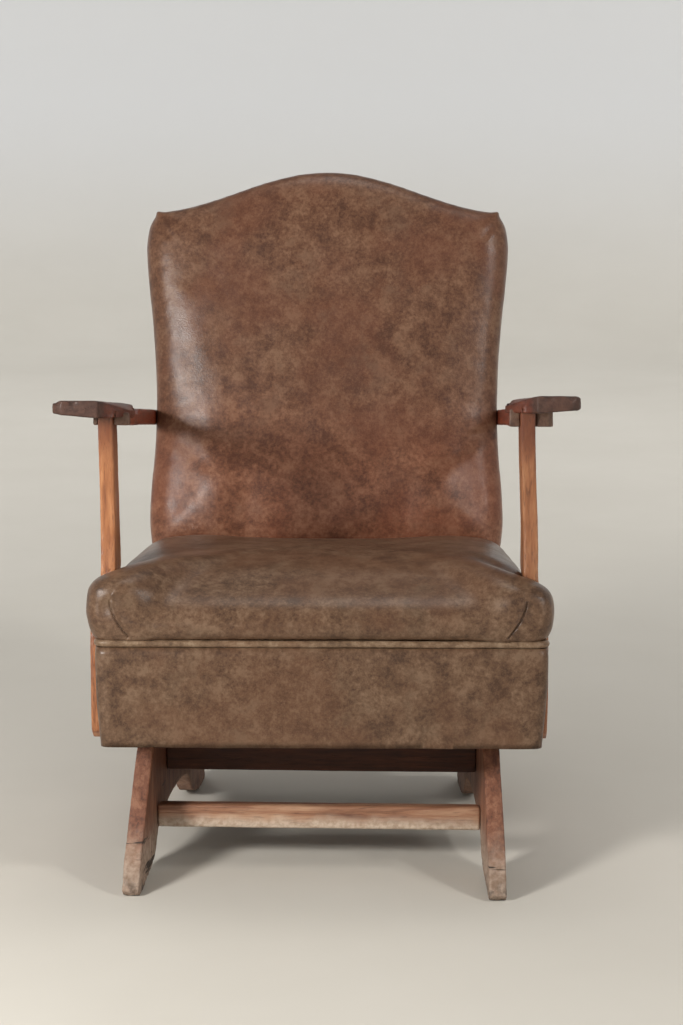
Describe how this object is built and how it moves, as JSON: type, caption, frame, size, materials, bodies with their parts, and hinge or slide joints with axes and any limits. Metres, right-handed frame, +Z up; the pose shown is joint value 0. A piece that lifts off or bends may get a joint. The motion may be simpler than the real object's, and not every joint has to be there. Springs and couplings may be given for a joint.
{
  "type": "platform rocking chair",
  "caption": "Upholstered platform rocker: arched-back armchair with open wooden arms that rocks on steel coil springs over a fixed arched wooden base.",
  "frame": {"origin": "on the floor, under the middle of the whole chair's outline", "axes": "+Z up; the sitter faces -Y; +X is the side on a viewer's right who looks at the chair's front, and the chair is the same on both sides of X = 0"},
  "size_m": [0.6402, 0.6812, 0.8729],
  "materials": {
    "base_wood": "varnish worn pale and dry, nicked near the feet",
    "cross_rail_wood": "dark red-brown stain, satin",
    "post_wood": "orange-tan varnish, satin",
    "arm_wood": "red-brown varnish, satin, worn grey-brown on the front edges",
    "frame_wood": "unfinished hardwood, hidden under the covers",
    "vinyl": "mottled brown leatherette with a fine grain, satin gloss",
    "padding": "cotton and spring padding under mottled brown leatherette, satin gloss",
    "jute": "plain woven jute, matt",
    "spring_steel": "dark oiled steel, a little dull",
    "bumper_rubber": "matt black"
  },
  "bodies": {
    "base": {"base_side_left": "base_wood", "base_side_right": "base_wood", "base_stretcher_front": "base_wood", "base_stretcher_rear": "base_wood", "base_rail_front": "cross_rail_wood", "base_rail_rear": "cross_rail_wood", "lower_spring_plate_left": "spring_steel", "rocker_spring_left_front": "spring_steel", "bumper_left_front": "bumper_rubber", "lower_bolt_left_front": "spring_steel", "rocker_spring_left_rear": "spring_steel", "bumper_left_rear": "bumper_rubber", "lower_bolt_left_rear": "spring_steel", "lower_spring_plate_right": "spring_steel", "rocker_spring_right_front": "spring_steel", "bumper_right_front": "bumper_rubber", "lower_bolt_right_front": "spring_steel", "rocker_spring_right_rear": "spring_steel", "bumper_right_rear": "bumper_rubber", "lower_bolt_right_rear": "spring_steel"},
    "chair": {"seat_rail_front": "frame_wood", "seat_rail_left": "frame_wood", "seat_rail_right": "frame_wood", "seat_rail_rear": "frame_wood", "seat_bearer_left": "frame_wood", "seat_bearer_right": "frame_wood", "seat_strap_1": "jute", "seat_strap_2": "jute", "seat_strap_3": "jute", "seat_strap_4": "jute", "seat_deck": "jute", "seat_cushion": "padding", "seat_welt": "vinyl", "apron_front": "vinyl", "apron_side_left": "vinyl", "apron_side_right": "vinyl", "back_stile_left": "frame_wood", "back_stile_right": "frame_wood", "back_rail_crest": "frame_wood", "back_rail_lower": "frame_wood", "back_strap_1": "jute", "back_strap_2": "jute", "back_cushion": "padding", "back_panel": "vinyl", "arm_paddle_left": "arm_wood", "arm_rail_left": "arm_wood", "arm_post_left": "post_wood", "post_plug_left_lower": "arm_wood", "post_plug_left_upper": "arm_wood", "upper_spring_plate_left": "spring_steel", "upper_bolt_left_front": "spring_steel", "upper_bolt_left_rear": "spring_steel", "arm_paddle_right": "arm_wood", "arm_rail_right": "arm_wood", "arm_post_right": "post_wood", "post_plug_right_lower": "arm_wood", "post_plug_right_upper": "arm_wood", "upper_spring_plate_right": "spring_steel", "upper_bolt_right_front": "spring_steel", "upper_bolt_right_rear": "spring_steel"}
  },
  "joints": [
    {"name": "rock", "type": "hinge", "parent": "base", "child": "chair", "pos_m": [0, -0.08378, 0.2386], "axis": [1, 0, 0], "range_deg": [-10, 10], "stiffness_Nm_per_rad": 260, "deforming": ["rocker_spring_left_front", "rocker_spring_left_rear", "rocker_spring_right_front", "rocker_spring_right_rear"]}
  ]
}
